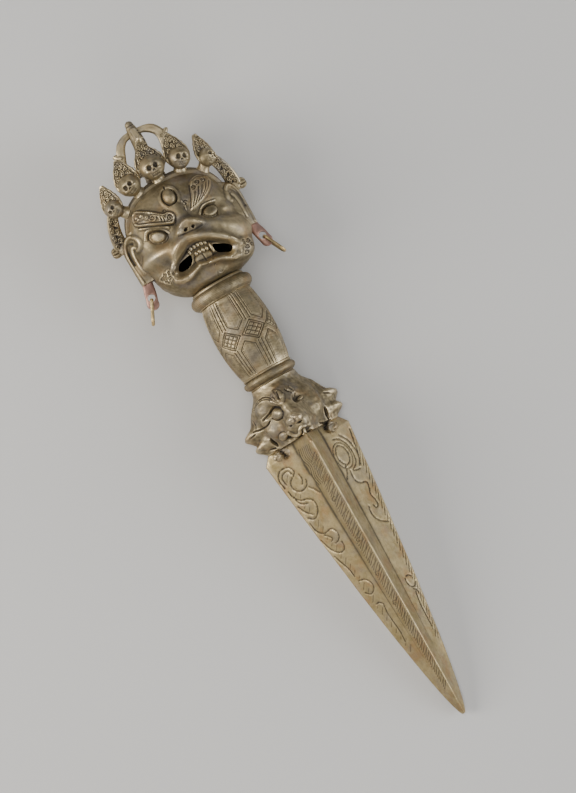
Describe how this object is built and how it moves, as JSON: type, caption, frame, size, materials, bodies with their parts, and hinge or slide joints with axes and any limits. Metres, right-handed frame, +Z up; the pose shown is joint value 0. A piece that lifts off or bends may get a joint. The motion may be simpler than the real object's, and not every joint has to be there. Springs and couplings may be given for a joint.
{
  "type": "ritual dagger",
  "caption": "Cast brass phurba with a three-vaned blade, a makara socket, a barrel grip, a wrathful three-eyed head in a skull crown, a half-vajra finial and swinging earrings.",
  "frame": {"origin": "centre of the footprint on the surface that the dagger lies on, midway between the point and the top of the finial", "axes": "+Y from the blade's point to the crown, +Z up out of the face, +X to the right as one looks at the face with the crown up"},
  "size_m": [0.0684, 0.3008, 0.0463],
  "materials": {
    "cast_brass": "aged cast brass, brown patina, worn on the ridges",
    "blade_brass": "aged brass, rubbed smooth, with dark engraved lines",
    "turned_brass": "aged turned brass, satin",
    "crown_brass": "aged cast brass, grey-brown patina",
    "finial_brass": "aged cast brass, dark patina",
    "inner_brass": "dull unpolished brass",
    "copper_lobe": "pinkish copper alloy, satin",
    "wire_brass": "bright worn brass wire"
  },
  "bodies": {
    "dagger": {"blade": "blade_brass", "makara_socket": "cast_brass", "lower_ring": "turned_brass", "grip": "cast_brass", "upper_collar": "turned_brass", "tang_washer": "inner_brass", "head_shell": "cast_brass", "topknot_cap": "cast_brass", "crown_band": "cast_brass", "skull_plaque_1": "crown_brass", "skull_plaque_2": "crown_brass", "skull_plaque_3": "crown_brass", "skull_plaque_4": "crown_brass", "skull_plaque_5": "crown_brass", "side_leaf_left": "crown_brass", "side_leaf_right": "crown_brass", "rosette_left": "crown_brass", "rosette_right": "crown_brass", "vajra_finial": "finial_brass", "ear_lobe_left": "copper_lobe", "ear_lobe_right": "copper_lobe"},
    "earring_left": {"earring_left": "wire_brass"},
    "earring_right": {"earring_right": "wire_brass"}
  },
  "joints": [
    {"name": "earring_left_swing", "type": "hinge", "parent": "dagger", "child": "earring_left", "pos_m": [-0.02832, 0.07615, 0.02017], "axis": [0, 0.0695, -0.9976], "range_deg": [-75, 115]},
    {"name": "earring_right_swing", "type": "hinge", "parent": "dagger", "child": "earring_right", "pos_m": [0.02832, 0.07615, 0.02017], "axis": [0, -0.0695, 0.9976], "range_deg": [-75, 115]}
  ]
}
